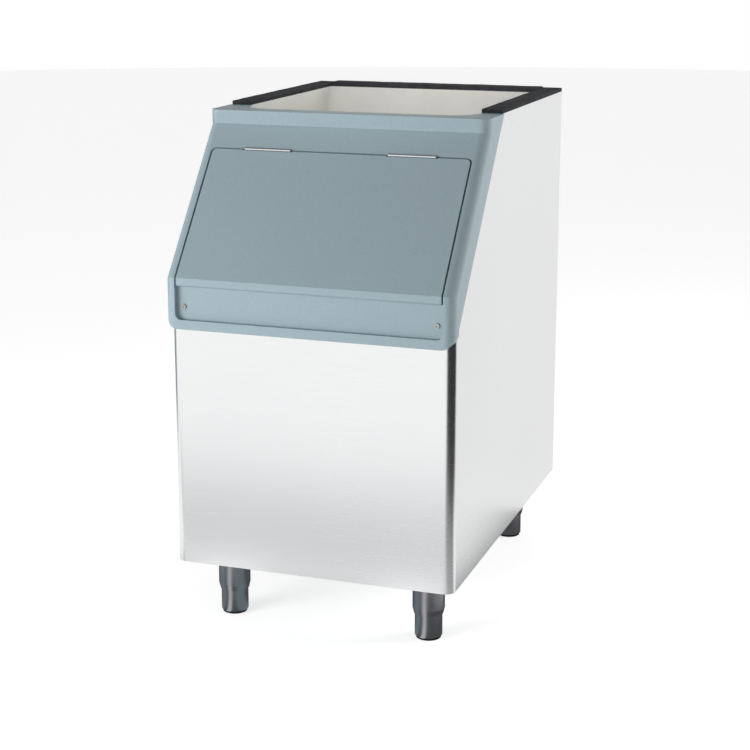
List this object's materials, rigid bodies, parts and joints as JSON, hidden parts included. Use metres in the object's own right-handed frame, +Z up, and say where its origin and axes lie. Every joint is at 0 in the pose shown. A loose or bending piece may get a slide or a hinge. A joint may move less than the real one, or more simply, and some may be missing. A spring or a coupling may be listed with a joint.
{
  "type": "ice storage bin",
  "caption": "Insulated ice storage bin: stainless cabinet on adjustable legs, open top with foam seal, moulded sloping front with a hinged door.",
  "frame": {"origin": "on the floor below the middle of the object", "axes": "+Z up, +X to the right seen from the front, the door faces -Y"},
  "size_m": [0.566, 0.82, 1],
  "materials": {
    "stainless": "satin",
    "bright_steel": "polished",
    "zinc_plate": "satin",
    "front_plastic": "satin",
    "liner_plastic": "satin",
    "insulation": "matte",
    "seal_foam": "matte",
    "black_rubber": "matte",
    "drain_plastic": "satin"
  },
  "bodies": {
    "cabinet": {"base_pan": "zinc_plate", "door_bumpers": "black_rubber", "drain_elbow": "drain_plastic", "drain_fitting": "drain_plastic", "drain_nut": "drain_plastic", "drain_strainer": "drain_plastic", "drain_washer": "black_rubber", "front_moulding": "front_plastic", "front_panel": "stainless", "front_screws": "bright_steel", "hinge_front_leaf_left": "bright_steel", "hinge_front_leaf_right": "bright_steel", "hinge_pin_left": "bright_steel", "hinge_pin_right": "bright_steel", "hinge_screws_front": "bright_steel", "insulation_foam": "insulation", "leg_plate_front_left": "zinc_plate", "leg_plate_front_right": "zinc_plate", "leg_plate_rear_left": "zinc_plate", "leg_plate_rear_right": "zinc_plate", "leg_screws": "zinc_plate", "leg_sleeve_front_left": "stainless", "leg_sleeve_front_right": "stainless", "leg_sleeve_rear_left": "stainless", "leg_sleeve_rear_right": "stainless", "leg_stud_front_left": "zinc_plate", "leg_stud_front_right": "zinc_plate", "leg_stud_rear_left": "zinc_plate", "leg_stud_rear_right": "zinc_plate", "liner": "liner_plastic", "rear_panel": "stainless", "rear_panel_screws": "zinc_plate", "seal_left": "seal_foam", "seal_rear": "seal_foam", "seal_right": "seal_foam", "side_panel_left": "stainless", "side_panel_right": "stainless"},
    "door": {"door_foam": "insulation", "door_inner_shell": "liner_plastic", "door_outer_shell": "front_plastic", "hinge_door_leaf_left": "bright_steel", "hinge_door_leaf_right": "bright_steel", "hinge_screws_door": "bright_steel"},
    "foot_front_left": {"leg_foot_front_left": "stainless", "foot_pad_front_left": "black_rubber"},
    "foot_front_right": {"leg_foot_front_right": "stainless", "foot_pad_front_right": "black_rubber"},
    "foot_rear_left": {"leg_foot_rear_left": "stainless", "foot_pad_rear_left": "black_rubber"},
    "foot_rear_right": {"leg_foot_rear_right": "stainless", "foot_pad_rear_right": "black_rubber"}
  },
  "joints": [
    {"name": "door_hinge", "type": "hinge", "parent": "cabinet", "child": "door", "pos_m": [0, -0.2291, 0.92107], "axis": [-1, 0, 0], "range_deg": [0, 150]},
    {"name": "foot_screw_front_left", "type": "slide", "parent": "cabinet", "child": "foot_front_left", "axis": [0, 0, -1], "range_m": [0, 0.025]},
    {"name": "foot_screw_front_right", "type": "slide", "parent": "cabinet", "child": "foot_front_right", "axis": [0, 0, -1], "range_m": [0, 0.025]},
    {"name": "foot_screw_rear_left", "type": "slide", "parent": "cabinet", "child": "foot_rear_left", "axis": [0, 0, -1], "range_m": [0, 0.025]},
    {"name": "foot_screw_rear_right", "type": "slide", "parent": "cabinet", "child": "foot_rear_right", "axis": [0, 0, -1], "range_m": [0, 0.025]}
  ]
}
